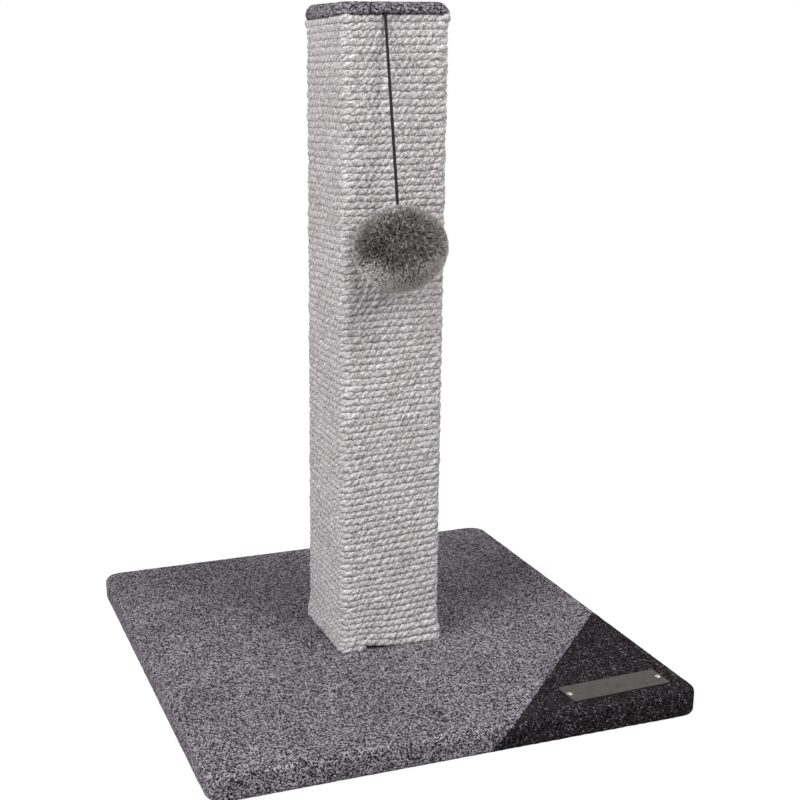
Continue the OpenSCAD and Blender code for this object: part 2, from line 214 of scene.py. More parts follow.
def uv_place(tree, along, around):
    """The piece's own UV map, stretched."""
    return add(tree, "Mapping", Vector=add(tree, "UVMap")[0], Scale=(along, around, 1))[0]


cord_cloth, tree, shader = new_material("black_braid", Roughness=0.75, Specular_IOR_Level=0.25)
strands = add(tree, "TexWave", {"wave_type": "BANDS", "bands_direction": "DIAGONAL"},
              Vector=uv_place(tree, 1100, 2), Scale=1.0, Distortion=0.6)["Fac"]
black = ramp(tree, strands, (0, (0.006, 0.005, 0.006)), (1, (0.016, 0.014, 0.015)))
tree.links.new(black, shader["Base Color"])
tree.links.new(bump(tree, strands, 0.6, 0.0002), shader["Normal"])

cord_rows, cord_sides = 120, 12
braid_dip = 0.05
t = np.linspace(0, 1, cord_rows)
middle = bend_at + np.outer(t * cord_free, cord_down)
angle = np.arange(cord_sides) * 2 * math.pi / cord_sides
braid = 1 - braid_dip * ((np.arange(cord_rows)[:, None] + np.arange(cord_sides)) % 2)
section = cord_d / 2 * (np.outer(np.cos(angle), cord_side) - np.outer(np.sin(angle), cord_out))
toy_cord = loft("elastic_cord", middle[:, None] + braid[..., None] * section, t * cord_free,
                np.arange(cord_sides) / cord_sides)
toy_cord.data.materials.append(cord_cloth)
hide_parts("toy_cord")
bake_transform(toy_cord)


def unit(v):
    """Vectors made one long."""
    return v / np.maximum(np.linalg.norm(v, axis=-1, keepdims=True), 1e-12)


def smooth_step(x):
    """Rises smoothly from 0 to 1 as x does."""
    x = np.clip(x, 0, 1)
    return x * x * (3 - 2 * x)


def cord_part(node, body, points, widths, flat):
    """A closed stretch of the cord through points, with its half widths and how flat it is there."""
    points, widths, flat = np.array(points), np.array(widths), np.array(flat)
    ahead = unit(np.gradient(points, axis=0))
    rise = np.cross(cord_side, ahead)
    ring = np.cos(angle)[:, None] * cord_side + (flat[:, None] * np.sin(angle))[..., None] * rise[:, None]
    far = np.append(0, np.cumsum(np.linalg.norm(np.diff(points, axis=0), axis=1)))
    made = loft(node + "_braid", points[:, None] + ring * widths[:, None, None], far,
                np.arange(cord_sides) / cord_sides)
    made.data.materials.append(cord_cloth)
    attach(made, body)
    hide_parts(node)


# A small round stands at the bend, a tail with a flattened knot lies under the cap, and the cord's
# lower end is knotted inside the ball
run_points, knot_points = 20, 13
run_half = np.full(run_points, cord_d / 2)
arc = np.linspace(0.15, math.pi - 0.15, knot_points)
cord_part("cord_bend", "cord_swivel", bend_at - np.outer(np.cos(arc) * cord_d / 2, cord_down),
          cord_d / 2 * np.sin(arc), np.ones(knot_points))

tail_knot_y, tail_knot_r, tail_knot_rise = 27.3, 3, 0.8
back = np.append(np.linspace(1.3, 24, run_points), tail_knot_y - tail_knot_r * np.cos(arc)) * MM
up_by = np.append(np.zeros(run_points), tail_knot_rise * smooth_step(np.arange(knot_points) / 4)) * MM
flattened = np.interp(np.arange(knot_points), [0, 3, 9, 12], [1, 0.53, 0.53, 0.6])
cord_part("cord_tail", "stand", bend_at + np.outer(back, [0, 1, 0]) + np.outer(up_by, UP),
          np.append(run_half, np.maximum(tail_knot_r * np.sin(arc), 1) * MM),
          np.append(np.ones(run_points), flattened))

ball_reach = 174.3 * MM
ball_knot_r = 3.5 * MM
down = np.append(np.linspace(cord_free, ball_reach - ball_knot_r - 0.1 * MM, run_points),
                 ball_reach - ball_knot_r * np.cos(arc))
cord_part("cord_knot", "cord_end", bend_at + np.outer(down, cord_down),
          np.append(run_half, np.maximum(ball_knot_r * np.sin(arc), cord_d / 2)),
          np.ones(run_points + knot_points))


# ---- Base board and its bolt ----------------------------------------------------------------
# The base is a 15 mm board of raw MDF with a pocket under it. An M8 bolt with a wide washer goes
# up from the pocket into a tee nut on the plug in the foot of the post. All three are zinc plated.


def object_place(tree):
    """Where a point lies on the piece, in metres."""
    return add(tree, "TexCoord")["Object"]


def noise(tree, where, scale, detail=3, rough=0.5, distort=0):
    """Soft random specks of about 1 / scale metres."""
    settings = {"noise_type": "FBM", "normalize": True}
    return add(tree, "TexNoise", settings, Vector=where, Scale=scale, Detail=detail, Roughness=rough,
               Distortion=distort)["Fac"]


def mix_colours(tree, factor, a, b, blend="MIX"):
    """Two colours mixed, or one times the other where blend is MULTIPLY."""
    settings = {"data_type": "RGBA", "blend_type": blend}
    return add(tree, "Mix", settings, in0=factor, in6=a, in7=b)[2]


board_mdf, tree, shader = new_material("raw_mdf", Roughness=0.85)
where = object_place(tree)
chips = noise(tree, where, 900, detail=4, rough=0.7)
clouds = noise(tree, where, 25, detail=2)
brown = ramp(tree, chips, (0.3, (0.2, 0.125, 0.068)), (0.7, (0.42, 0.29, 0.17)))
tone = ramp(tree, clouds, (0.3, (0.82, 0.82, 0.82)), (0.7, (1, 1, 1)))
tree.links.new(mix_colours(tree, 1.0, brown, tone, "MULTIPLY"), shader["Base Color"])
tree.links.new(bump(tree, chips, 0.3, 0.0003), shader["Normal"])

zinc, tree, shader = new_material("zinc_steel", Metallic=1, Roughness=0.34)
where = object_place(tree)
spangle = noise(tree, where, 260, detail=3, rough=0.6)
silver = ramp(tree, spangle, (0.3, (0.42, 0.42, 0.43)), (0.7, (0.66, 0.66, 0.68)))
tree.links.new(silver, shader["Base Color"])
tree.links.new(bump(tree, noise(tree, where, 1500), 0.15, 0.0001), shader["Normal"])


def finish_nodes(material, *names):
    """CAD pieces that keep their own shape take a material."""
    for name in names:
        nodes[name].data.materials.clear()
        nodes[name].data.materials.append(material)


finish_nodes(board_mdf, "base_board")
finish_nodes(zinc, "base_bolt", "bolt_washer", "tee_nut", "hem_staples")


# ---- Felt over the base ---------------------------------------------------------------------
# Needle-punched felt 3 mm thick, of black, grey and white fibres mixed at random. It is glued
# over the board, drawn round its edges and stapled under it. The right front corner is a second,
# nearly black felt, butted to the grey one along a straight seam.
base_w = 400 * MM
base_top = 21 * MM
base_corner_r = 15 * MM
base_edge_r = 4 * MM
felt_t = 3 * MM
hem_w = 40 * MM
corner_leg = 164 * MM
fan_r = 2 * MM
fuzz_h = 0.16 * MM
base_points = 420
slit_l, slit_w = 60 * MM, 1 * MM


def ripple(points, size, seed, waves=14):
    """Smooth random heights between about -1 and 1, with hills about size apart."""
    pick = np.random.default_rng(seed)
    lean_of = pick.normal(size=(waves, 3))
    lean_of *= (2 * math.pi / size * pick.uniform(0.6, 1.4, waves) / np.linalg.norm(lean_of, axis=1))[:, None]
    late = pick.uniform(0, 2 * math.pi, waves)
    return np.sin(points @ lean_of.T + late).sum(-1) * math.sqrt(2 / waves) * 0.7


def square_ring(half, r, count):
    """Points round a square with rounded corners, and their outward directions, seen from above."""
    r = min(r, half)
    side, arc = 2 * (half - r), math.pi / 2 * r
    t = np.arange(count) / count * 4 * (side + arc)
    k, t = np.divmod(t, side + arc)
    bend = np.clip((t - side) / max(r, 1e-9), 0, math.pi / 2)
    n = np.stack([np.sin(bend), -np.cos(bend)], -1)
    p = np.stack([np.minimum(t, side) - side / 2, np.full(count, r - half)], -1) + r * n
    c, s = np.cos(k * math.pi / 2), np.sin(k * math.pi / 2)
    turn = np.stack([np.stack([c, -s], -1), np.stack([s, c], -1)], -2)
    return (turn @ p[..., None])[..., 0], (turn @ n[..., None])[..., 0]


def normals_of(rings):
    """Outward directions on a grid of rings."""
    across = np.gradient(rings, axis=0)
    around = np.roll(rings, -1, axis=1) - np.roll(rings, 1, axis=1)
    return unit(np.cross(across, around))


def felt_cover(name, half, corner_r, profile, count, fuzz):
    """A felt drawn over a square board: profile is (inset from the edge, height) from the middle
    of its upper side, out and down round the edge, and back along its inner side. fuzz is how far
    the fibres stand up at each of these points."""
    rings = []
    for inset, height in profile:
        at, _ = square_ring(half - inset, max(corner_r - inset, 0.6 * MM), count)
        rings.append(np.column_stack([at, np.full(count, height)]))
    rings = np.array(rings)
    lift = ripple(rings, 7 * MM, 3) * 0.6 + ripple(rings, 2.6 * MM, 4) * 0.5
    rings += fuzz[:, None, None] * lift[..., None] * normals_of(rings)
    rows = len(rings)
    i, j = np.meshgrid(np.arange(rows - 1), np.arange(count), indexing="ij")
    a, b = i * count + j, i * count + (j + 1) % count
    quads = np.stack([a, a + count, b + count, b], -1).reshape(-1, 4).tolist()
    top, foot = rows * count, rows * count + 1
    fans = [[top, k, (k + 1) % count] for k in range(count)]
    fans += [[foot, (rows - 1) * count + (k + 1) % count, (rows - 1) * count + k] for k in range(count)]
    ends = np.array([[0, 0, rings[0, 0, 2]], [0, 0, rings[-1, 0, 2]]])
    return mesh_piece(name, np.vstack([rings.reshape(-1, 3), ends]), quads + fans)


def quarter(inset, height, r, start, end, steps):
    """Points of an arc in the profile: inset grows inwards, height upwards."""
    a = np.radians(np.linspace(start, end, steps))
    return [(inset - r * math.cos(v), height + r * math.sin(v)) for v in a]


def deselect():
    """Nothing stays selected, so that an operator acts on one piece alone."""
    for o in bpy.context.selected_objects:
        o.select_set(False)


half = base_w / 2
outer = [(half - v, base_top) for v in np.linspace(fan_r, half - base_edge_r - 1 * MM, 58)]
outer += quarter(base_edge_r, base_top - base_edge_r, base_edge_r, 90, 0, 7)
outer += [(0, z) for z in np.linspace(base_top - base_edge_r, base_edge_r, 7)[1:-1]]
outer += quarter(base_edge_r, base_edge_r, base_edge_r, 0, -90, 7)
outer += [(v, 0) for v in np.linspace(base_edge_r, hem_w - 1 * MM, 14)[1:]]
outer += [(hem_w - 0.3 * MM, 0.3 * MM), (hem_w, 1 * MM), (hem_w, felt_t - 0.6 * MM)]
outer += [(hem_w - 0.4 * MM, felt_t)]
inner = [(v, felt_t) for v in np.linspace(hem_w - 3 * MM, felt_t + 1 * MM, 6)]
inner += [(felt_t, z) for z in np.linspace(felt_t + 1 * MM, base_top - felt_t - 1 * MM, 3)]
inner += [(v, base_top - felt_t) for v in np.linspace(felt_t + 1 * MM, half - fan_r, 6)]
fuzz = np.array([fuzz_h * (z > 0.5 * MM and k < len(outer)) for k, (_, z) in enumerate(outer + inner)])
whole = felt_cover("base_cover", half, base_corner_r, outer + inner, base_points, fuzz)

# The four folded corners of the hem are slit, so that the felt lies flat under the board
for k in range(4):
    a = math.radians(45 + 90 * k)
    corner_far = (half - felt_t - base_corner_r * 0.35) * math.sqrt(2)
    out_by = corner_far - slit_l / 2
    bpy.ops.mesh.primitive_cube_add(size=1, location=(math.cos(a) * out_by, math.sin(a) * out_by, 0),
                                    rotation=(0, 0, a), scale=(slit_l, slit_w, 2 * (felt_t + 0.5 * MM)))
    slit = bpy.context.object
    deselect()
    bpy.context.view_layer.objects.active = whole
    whole.select_set(True)
    cut = whole.modifiers.new("slit", "BOOLEAN")
    cut.operation, cut.solver, cut.object = "DIFFERENCE", "EXACT", slit
    bpy.ops.object.modifier_apply(modifier="slit")
    bpy.data.objects.remove(slit)


def copy_of(piece, name):
    """A copy with a mesh of its own."""
    twin = piece.copy()
    twin.data = piece.data.copy()
    twin.name = twin.data.name = name
    bpy.context.scene.collection.objects.link(twin)
    return twin


def cut_at_seam(piece, leg, keep_corner):
    """Keeps what lies on one side of the seam across the right front corner."""
    deselect()
    bpy.context.view_layer.objects.active = piece
    piece.select_set(True)
    bpy.ops.object.mode_set(mode="EDIT")
    bpy.ops.mesh.select_all(action="SELECT")
    bpy.ops.mesh.bisect(plane_co=(half - leg, -half, base_top), plane_no=(1, -1, -1), use_fill=True,
                        clear_inner=keep_corner, clear_outer=not keep_corner)
    bpy.ops.object.mode_set(mode="OBJECT")
    piece.select_set(False)


def maths(tree, operation, a, b):
    """A sum, product or other operation on two values."""
    return add(tree, "Math", {"operation": operation}, in0=a, in1=b)[0]


def flecks(tree, where, scale):
    """A random number for each fleck of about 1 / scale metres."""
    cell = add(tree, "TexVoronoi", {"feature": "F1"}, Vector=where, Scale=scale)["Color"]
    return add(tree, "SeparateColor", Color=cell)["Red"]


def frayed(tree, where, scale, size):
    """Object coordinates pushed about, so that flecks come out as short bent fibres."""
    stray = add(tree, "TexNoise", Vector=where, Scale=scale, Detail=1)["Color"]
    push = add(tree, "VectorMath", {"operation": "MULTIPLY_ADD"}, in0=stray, in1=(size, size, size),
               in2=where)
    return push["Vector"]


def felt_material(name, dark, mid, light, fleck, rare):
    """Mixed fibres: dark and light ones at random, and a few pale ones that lie on top. Faces that turn
    towards the front are darkened, as painted shade."""
    made, tree, shader = new_material(name, Roughness=0.95, Specular_IOR_Level=0.05)
    place = object_place(tree)
    where = frayed(tree, place, 900, 0.0008)
    coarse, fine = flecks(tree, where, 900), flecks(tree, where, 1500)
    heather = maths(tree, "ADD", maths(tree, "MULTIPLY", coarse, 0.6), maths(tree, "MULTIPLY", fine, 0.4))
    body = ramp(tree, heather, (0.24, dark), (0.5, mid), (0.76, light))
    loose = flecks(tree, frayed(tree, place, 420, 0.005), 1000)
    on_top = ramp(tree, loose, (rare, (0, 0, 0)), (rare + 0.02, (1, 1, 1)))
    body = mix_colours(tree, on_top, body, (*fleck, 1))
    cloud = noise(tree, place, 16, detail=4, rough=0.6)
    cloud = ramp(tree, cloud, (0.32, (0.86, 0.86, 0.86)), (0.68, (1.08, 1.08, 1.08)))
    body = mix_colours(tree, 1.0, body, cloud, "MULTIPLY")
    # Painted shade: the colour is darker where the surface faces the front
    backward = add(tree, "SeparateXYZ", Vector=add(tree, "NewGeometry")["Normal"])["Y"]
    painted_front_shade = ramp(tree, maths(tree, "MULTIPLY", backward, -1), (0.2, (1, 1, 1)), (0.8, (0.82, 0.82, 0.82)))
    tree.links.new(mix_colours(tree, 1.0, body, painted_front_shade, "MULTIPLY"), shader["Base Color"])
    tree.links.new(bump(tree, heather, 0.5, 0.0007), shader["Normal"])
    return made


grey_felt = felt_material("grey_felt", (0.0105, 0.0086, 0.0107), (0.096, 0.0865, 0.0998),
                          (0.475, 0.443, 0.482), (0.6, 0.57, 0.61), 0.97)
dark_felt = felt_material("dark_felt", (0.0015, 0.0008, 0.0012), (0.01, 0.007, 0.0086),
                          (0.052, 0.043, 0.049), (0.2, 0.18, 0.188), 0.93)

corner = copy_of(whole, "corner_cover")
seam_gap = 0.2 * MM
cut_at_seam(whole, corner_leg + seam_gap * math.sqrt(2), False)
cut_at_seam(corner, corner_leg, True)
whole.data.materials.append(grey_felt)
corner.data.materials.append(dark_felt)
for piece, node, slot, flat, area in (
    (whole, "base_felt", "felt", (0.518, 0.518), 0.237),
    (corner, "corner_felt", "dark_felt", (0.221, 0.221), 0.0244),
):
    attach(piece, "stand")
    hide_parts(node)


# ---- Name plate -----------------------------------------------------------------------------
# A small plate of brushed gunmetal steel with rounded corners, left bare, on the dark felt. Two
# bright aluminium rivets hold it through the felt into the board.
plate_turn = math.radians(2)
gunmetal, tree, shader = new_material("gunmetal", Metallic=0.85, Roughness=0.42)
place = object_place(tree)
along = add(tree, "Mapping", Vector=place, Rotation=(0, 0, -plate_turn), Scale=(18, 900, 900))[0]
brushed = noise(tree, along, 1, detail=5, rough=0.7)
brown_grey = ramp(tree, brushed, (0.25, (0.035, 0.031, 0.028)), (0.75, (0.095, 0.087, 0.078)))
tarnish = noise(tree, place, 260, detail=4, rough=0.65)
tarnish = ramp(tree, tarnish, (0.32, (0.72, 0.72, 0.72)), (0.68, (1.25, 1.25, 1.25)))
tree.links.new(mix_colours(tree, 1.0, brown_grey, tarnish, "MULTIPLY"), shader["Base Color"])
tree.links.new(bump(tree, brushed, 0.25, 0.0001), shader["Normal"])
bright, tree, shader = new_material("bright_rivet", Metallic=1, Roughness=0.3)
worn = noise(tree, object_place(tree), 500, detail=3)
tree.links.new(ramp(tree, worn, (0.3, (0.36, 0.35, 0.335)), (0.7, (0.6, 0.59, 0.57))), shader["Base Color"])
finish_nodes(gunmetal, "name_plate")
finish_nodes(bright, "plate_rivets")


# ---- Post tube, plugs and nails -------------------------------------------------------------
# Under the rope stands a square tube of wound brown cardboard, coloured darker than cardboard is, as painted
# shade where it shows in the gap at the rope's foot. A block of softwood closes each end, held by four nails
# through the tube's walls.
cardboard, tree, shader = new_material("cardboard", Roughness=0.9)
where = object_place(tree)
pulp = noise(tree, where, 700, detail=3)
# Painted shade: the brown is darkened so that the gap at the rope's foot looks shadowed
brown = ramp(tree, pulp, (0.3, (0.075, 0.05, 0.032)), (0.7, (0.13, 0.09, 0.06)))
tree.links.new(brown, shader["Base Color"])
tree.links.new(bump(tree, pulp, 0.2, 0.0002), shader["Normal"])
softwood, tree, shader = new_material("softwood", Roughness=0.7)
stretched = add(tree, "Mapping", Vector=object_place(tree), Scale=(1, 1, 0.06))[0]
grain = noise(tree, stretched, 220, detail=4, rough=0.6, distort=0.6)
tree.links.new(ramp(tree, grain, (0.3, (0.52, 0.36, 0.19)), (0.7, (0.74, 0.58, 0.37))), shader["Base Color"])
finish_nodes(cardboard, "post_tube")
finish_nodes(softwood, "lower_plug", "upper_plug")
finish_nodes(zinc, "plug_nails", "cap_screws")


# ---- Rope round the post --------------------------------------------------------------------
# One soft rope of three strands, laid to the left, is wound round the tube from its foot to the
# cap in 92 rows that touch. The first row lies flat on the base, and the rope climbs over its own
# end at the foot of the front face. The lowest rows stand out a little from the tube.
tube_half = 38 * MM
tube_r = 5 * MM
rope_t = 5.5 * MM
rope_gap = 0.1 * MM
rope_pitch = 5.48 * MM
rope_foot = 23.8 * MM
rope_lay = 19 * MM
rope_end_left = 21.5 * MM

# How far the rows lean to the right and to the back, at these heights, as rise per length
row_heights = np.array([24, 36, 66, 107, 147, 188, 229, 270, 310, 351, 392, 432, 473, 514]) * MM
tilt_right = [0, 0.07, 0.098, 0.084, 0.076, 0.08, 0.052, 0.04, 0.022, 0.014, 0.01, 0.02, 0.02, 0.015]
tilt_back = [0, 0, 0, 0.02, 0, -0.028, -0.016, -0.027, -0.048, -0.052, -0.065, -0.045, -0.028, -0.03]

# Slow and quick waves in the rows between the post's ends, an uneven lay, and how far the rope
# stands out at the foot, at the top, at corners and here and there, in mm
wave, wave_l = 0.45 * MM, 60 * MM
jitter, jitter_l = 0.25 * MM, 12 * MM
wave_from, wave_rise, wave_to, wave_fall = 40 * MM, 60 * MM, 510 * MM, 40 * MM
uneven_lay, uneven_lay_l = 0.5, 24 * MM
foot_flare, foot_corner_flare, foot_z, foot_h = 1.2, 1.6, 24 * MM, 13 * MM
top_corner_flare, top_z, top_h = 2.2, 523 * MM, 7 * MM
corner_bulge, lumps, lump_l = 1.5, 0.35, 11 * MM

sections = (("bottom", 23.25), ("lower", 23.25), ("upper", 23.0), ("top", 23.0))
all_turns = sum(turns for _, turns in sections)
level_turns = 18
straight = tube_half - tube_r
bend_r = tube_r + rope_gap + rope_t / 2
turn_length = 8 * straight + 2 * math.pi * bend_r


def rows_below(u, first, last):
    """Whole rows wound after u turns, where each row climbs to the next between these shares."""
    row, share = np.divmod(u - last, 1)
    return row + smooth_step((share - (1 - last + first)) / (last - first))


def rope_height(u):
    """Height of the rope's middle line after u turns: level rows at both ends, which climb at a
    corner, and an even climb between them."""
    near_foot = np.clip(1 - u / level_turns, 0, 1)
    v = all_turns - u
    near_top = np.clip(1 - v / level_turns, 0, 1)
    foot_rows = rows_below(u, 0.9, 1.03) + 1
    top_rows = all_turns - (rows_below(v, 0.96, 1.04) + 1)
    return rope_foot + rope_pitch * (u + near_foot * (foot_rows - u) + near_top * (top_rows - u))


def rope_path(u):
    """Points, outward directions and forward directions of the rope's middle line."""
    run = rope_end_left + u * turn_length + straight
    quarter_run = 2 * straight + math.pi / 2 * bend_r
    face, t = np.divmod(run, quarter_run)
    bend = np.clip((t - 2 * straight) / bend_r, 0, math.pi / 2)
    flat = np.minimum(t, 2 * straight) - straight
    angle = -math.pi / 2 - face * math.pi / 2
    n = np.stack([np.cos(angle), np.sin(angle)], -1)
    d = np.stack([np.sin(angle), -np.cos(angle)], -1)
    out = n * np.cos(bend)[:, None] + d * np.sin(bend)[:, None]
    ahead = d * np.cos(bend)[:, None] - n * np.sin(bend)[:, None]
    plan = n * straight + d * flat[:, None] + bend_r * out
    z = rope_height(u)
    at = np.column_stack([plan, z])
    inside = smooth_step((z - wave_from) / wave_rise) * smooth_step((wave_to - z) / wave_fall)
    at[:, 2] += inside * (wave * ripple(at, wave_l, 21) + jitter * ripple(at, jitter_l, 22))
    at[:, 2] += np.interp(z, row_heights, tilt_right) * plan[:, 0]
    at[:, 2] += np.interp(z, row_heights, tilt_back) * plan[:, 1]
    at_corner = np.sin(2 * bend) ** 2
    flare = (foot_flare + foot_corner_flare * at_corner) * np.exp(-((z - foot_z) / foot_h) ** 2)
    flare += top_corner_flare * at_corner * smooth_step((z - top_z) / top_h)
    bulge = flare + corner_bulge * at_corner + lumps * ripple(at, lump_l, 23)
    at[:, :2] += out * (bulge * MM)[:, None]
    level = np.zeros((len(u), 1))
    return at, np.hstack([out, level]), np.hstack([ahead, level])


rope_sides = 12
rope_step = 1.0 * MM
end_taper = 9 * MM
lobe_depth = np.array([0.85, 0.97, 1.0, 0.97])[np.arange(rope_sides) % 4]
lobe_angle = np.radians(np.arange(rope_sides) * 30.0 + np.array([0, 6, 0, -6])[np.arange(rope_sides) % 4])
square_up = 3.1
squeezed_h = 7.2 * MM
proud = 0.8 * MM

rope_yarn, tree, shader = new_material("rope_yarn", Roughness=0.92, Specular_IOR_Level=0.12,
                                       Sheen_Weight=0.05, Sheen_Roughness=0.5)
place = object_place(tree)
yarn = flecks(tree, uv_place(tree, 1, 0.045), 560)
fluff = flecks(tree, frayed(tree, place, 900, 0.001), 1100)
streak = noise(tree, uv_place(tree, 150, 24), 1, detail=3, rough=0.6, distort=0.6)
both = maths(tree, "ADD", maths(tree, "MULTIPLY", yarn, 0.35), maths(tree, "MULTIPLY", fluff, 0.55))
both = maths(tree, "ADD", both, maths(tree, "MULTIPLY", streak, 0.1))
pale_yarn = ramp(tree, both, (0.25, (0.255, 0.24, 0.246)), (0.5, (0.565, 0.538, 0.549)),
                 (0.77, (0.785, 0.758, 0.768)))
# Painted shade: the yarn's colour is darker towards the grooves between the strands
round_it = add(tree, "SeparateXYZ", Vector=uv_place(tree, 1, 3))["Y"]
to_groove = add(tree, "Math", {"operation": "PINGPONG"}, in0=round_it, in1=0.5)[0]
painted_groove_shade = ramp(tree, to_groove, (0, (0.66, 0.64, 0.64)), (0.12, (0.95, 0.95, 0.95)), (0.4, (1, 1, 1)))
pale_yarn = mix_colours(tree, 1.0, pale_yarn, painted_groove_shade, "MULTIPLY")
tint = noise(tree, place, 22, detail=3)
tint = ramp(tree, tint, (0.3, (0.94, 0.935, 0.925)), (0.7, (1.03, 1.03, 1.03)))
tree.links.new(mix_colours(tree, 1.0, pale_yarn, tint, "MULTIPLY"), shader["Base Color"])
tree.links.new(bump(tree, both, 0.48, 0.0006), shader["Normal"])

wound = 0.0
for part, turns in sections:
    count = int(turns * turn_length / rope_step)
    u = np.linspace(wound, wound + turns, count)
    at, out, ahead = rope_path(u)
    length = u * turn_length
    turned = length / rope_lay * 2 * math.pi + uneven_lay * ripple(at, uneven_lay_l, 24)
    twist = lobe_angle + turned[:, None]
    rise = np.cross(out, ahead)
    c, s = np.cos(twist), np.sin(twist)
    end = smooth_step(0.25 + np.minimum(u, all_turns - u) * turn_length / end_taper)[:, None]
    half_t, half_h = (rope_t / 2 + proud * (c > 0)) * end, squeezed_h / 2 * end
    reach = (np.abs(c / half_t) ** square_up + np.abs(s / half_h) ** square_up) ** (-1 / square_up)
    reach *= lobe_depth
    ring = (reach * c)[..., None] * out[:, None] + (reach * s)[..., None] * rise[:, None]
    piece = loft("rope_" + part, at[:, None] + ring, length, np.arange(rope_sides) / rope_sides)
    piece.data.materials.append(rope_yarn)
    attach(piece, "stand")
    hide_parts("rope_winding_" + part)
    wound += turns


# ---- Cap ------------------------------------------------------------------------------------
# A thin board is screwed on the upper plug, and the same grey felt is glued over it. The felt's
# rim is drawn down over the board's edge as far as the top row of rope.
finish_nodes(board_mdf, "cap_board")
cap_half = 46 * MM
cap_foot = 533.5 * MM
cap_top = 543.8 * MM
cap_board_top = 539.5 * MM
cap_corner_r = 12 * MM
cap_edge_r = 8 * MM
cap_board_half = 38.6 * MM
cap_fuzz_h = 0.18 * MM
cap_points = 220
rim_tuck = 1.2 * MM
rim_end = 2.5 * MM
rim_to_right, rim_to_back = 0.015, -0.03
over_cord, over_cord_w = 1.6 * MM, 3 * MM
rope_end_right, over_rope_end, over_rope_end_w = 22.5 * MM, 2 * MM, 5 * MM
corner_drop, corner_from, corner_w = 2.8 * MM, 50 * MM, 11 * MM
outer = [(cap_half - v, cap_top) for v in np.linspace(1 * MM, cap_half - cap_edge_r - 0.8 * MM, 24)]
outer += quarter(cap_edge_r, cap_top - cap_edge_r, cap_edge_r, 90, 0, 9)
rim_h = cap_top - cap_edge_r - cap_foot - 0.5 * MM
outer += [(rim_tuck * k ** 2, cap_top - cap_edge_r - rim_h * k) for k in (0.25, 0.5, 0.75, 1)]
outer += [(rim_tuck + 0.5 * MM, cap_foot), (felt_t - 0.3 * MM, cap_foot)]
to_board = cap_half - cap_board_half
inner = [(felt_t, cap_foot + 0.4 * MM), (to_board, cap_foot + rim_end)]
inner += [(to_board, cap_board_top - 1 * MM)]
inner += [(v, cap_board_top) for v in np.linspace(to_board + 1 * MM, cap_half - fan_r, 5)]
fuzz = np.concatenate([np.full(len(outer), cap_fuzz_h), np.zeros(len(inner))])
cap_cover = felt_cover("cap_cover", cap_half, cap_corner_r, outer + inner, cap_points, fuzz)
co = np.array([v.co for v in cap_cover.data.vertices])

# The rim follows the top row of rope, makes way for the cord and covers the rope's end. The right
# front corner is pulled down a little
low_edge = np.clip((cap_foot + rim_end - co[:, 2]) / rim_end, 0, 1)
by_cord = np.exp(-((co[:, 0] + cord_left) / over_cord_w) ** 2) * (co[:, 1] < 0)
by_rope_end = np.exp(-((co[:, 0] - rope_end_right) / over_rope_end_w) ** 2) * (co[:, 1] > 0)
lift = rim_to_right * co[:, 0] + rim_to_back * co[:, 1] + over_cord * by_cord - over_rope_end * by_rope_end
co[:, 2] += low_edge * lift
front_right = smooth_step(((co[:, 0] - co[:, 1]) / math.sqrt(2) - corner_from) / corner_w)
co[:, 2] -= corner_drop * front_right * np.clip((co[:, 2] - cap_foot) / (cap_top - cap_foot), 0, 1)
cap_cover.data.vertices.foreach_set("co", co.ravel())
cap_cover.data.materials.append(grey_felt)
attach(cap_cover, "stand")
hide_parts("cap_felt")


# ---- Plush ball -----------------------------------------------------------------------------
# A ball of stuffing in a cover of taupe plush whose short pile is darker at the root than at the tip; the
# palest tips are partly painted light, for light through the pile at the rim. The pile is brushed one way
# here and another there, and it parts into small tufts. Its colour is painted lighter below and to the right
# and darker on top and in a few dark spots, as painted light and shade.
ball_mid = bend_at + ball_reach * cord_down
ball_r = 35.6 * MM
ball_half_h = 32.3 * MM
ball_axes = np.stack([cord_side, cord_out, -cord_down])
pile = 6.5 * MM
cover_under = 4.0 * MM
cover_tip = 0.3
fluff_out = 1.045
pressed_to = -44.7 * MM

plush, tree, shader = new_material("plush_pile", Roughness=0.85, Specular_IOR_Level=0.15, Sheen_Weight=0.45,
                                   Sheen_Roughness=0.35)
tip = add(tree, "Attribute", {"attribute_name": "tip"})["Fac"]
shade = add(tree, "Attribute", {"attribute_name": "shade"})["Fac"]
# Pile colour from root to tip: dark at the root, much paler at the tip. The pale tips are partly the pile's
# own colour and partly painted light, for light shining through the pile at the rim
hair = ramp(tree, tip, (0, (0.055, 0.051, 0.046)), (0.4, (0.115, 0.107, 0.098)),
            (0.7, (0.225, 0.213, 0.2)), (1, (0.68, 0.65, 0.62)))
# The second attribute scales this colour: it carries painted light and shade on the ball, and random tone
patch = ramp(tree, shade, (0, (0.27, 0.27, 0.258)), (0.5, (0.68, 0.672, 0.66)), (1, (2.05, 2.03, 2.08)))
tree.links.new(mix_colours(tree, 1.0, hair, patch, "MULTIPLY"), shader["Base Color"])


# Dark spots painted as shade on the pile: side, out and up on the ball, width and depth
painted_dark_spots = (
    ((0.11, 0.79, 0.57), 0.28, 0.26),
    ((-0.84, 0.55, 0.25), 0.26, 0.18),
    ((-0.5, 0.79, -0.33), 0.22, 0.3),
    ((-0.02, 0.74, -0.64), 0.17, 0.3),
    ((-0.23, 0.96, -0.11), 0.16, 0.12),
    ((0.47, 0.78, 0.3), 0.25, 0.14),
)


def spread(count):
    """Directions spread evenly over a ball."""
    k = np.arange(count) + 0.5
    z = 1 - 2 * k / count
    a = k * math.pi * (3 - math.sqrt(5))
    r = np.sqrt(1 - z * z)
    return np.column_stack([r * np.cos(a), r * np.sin(a), z])


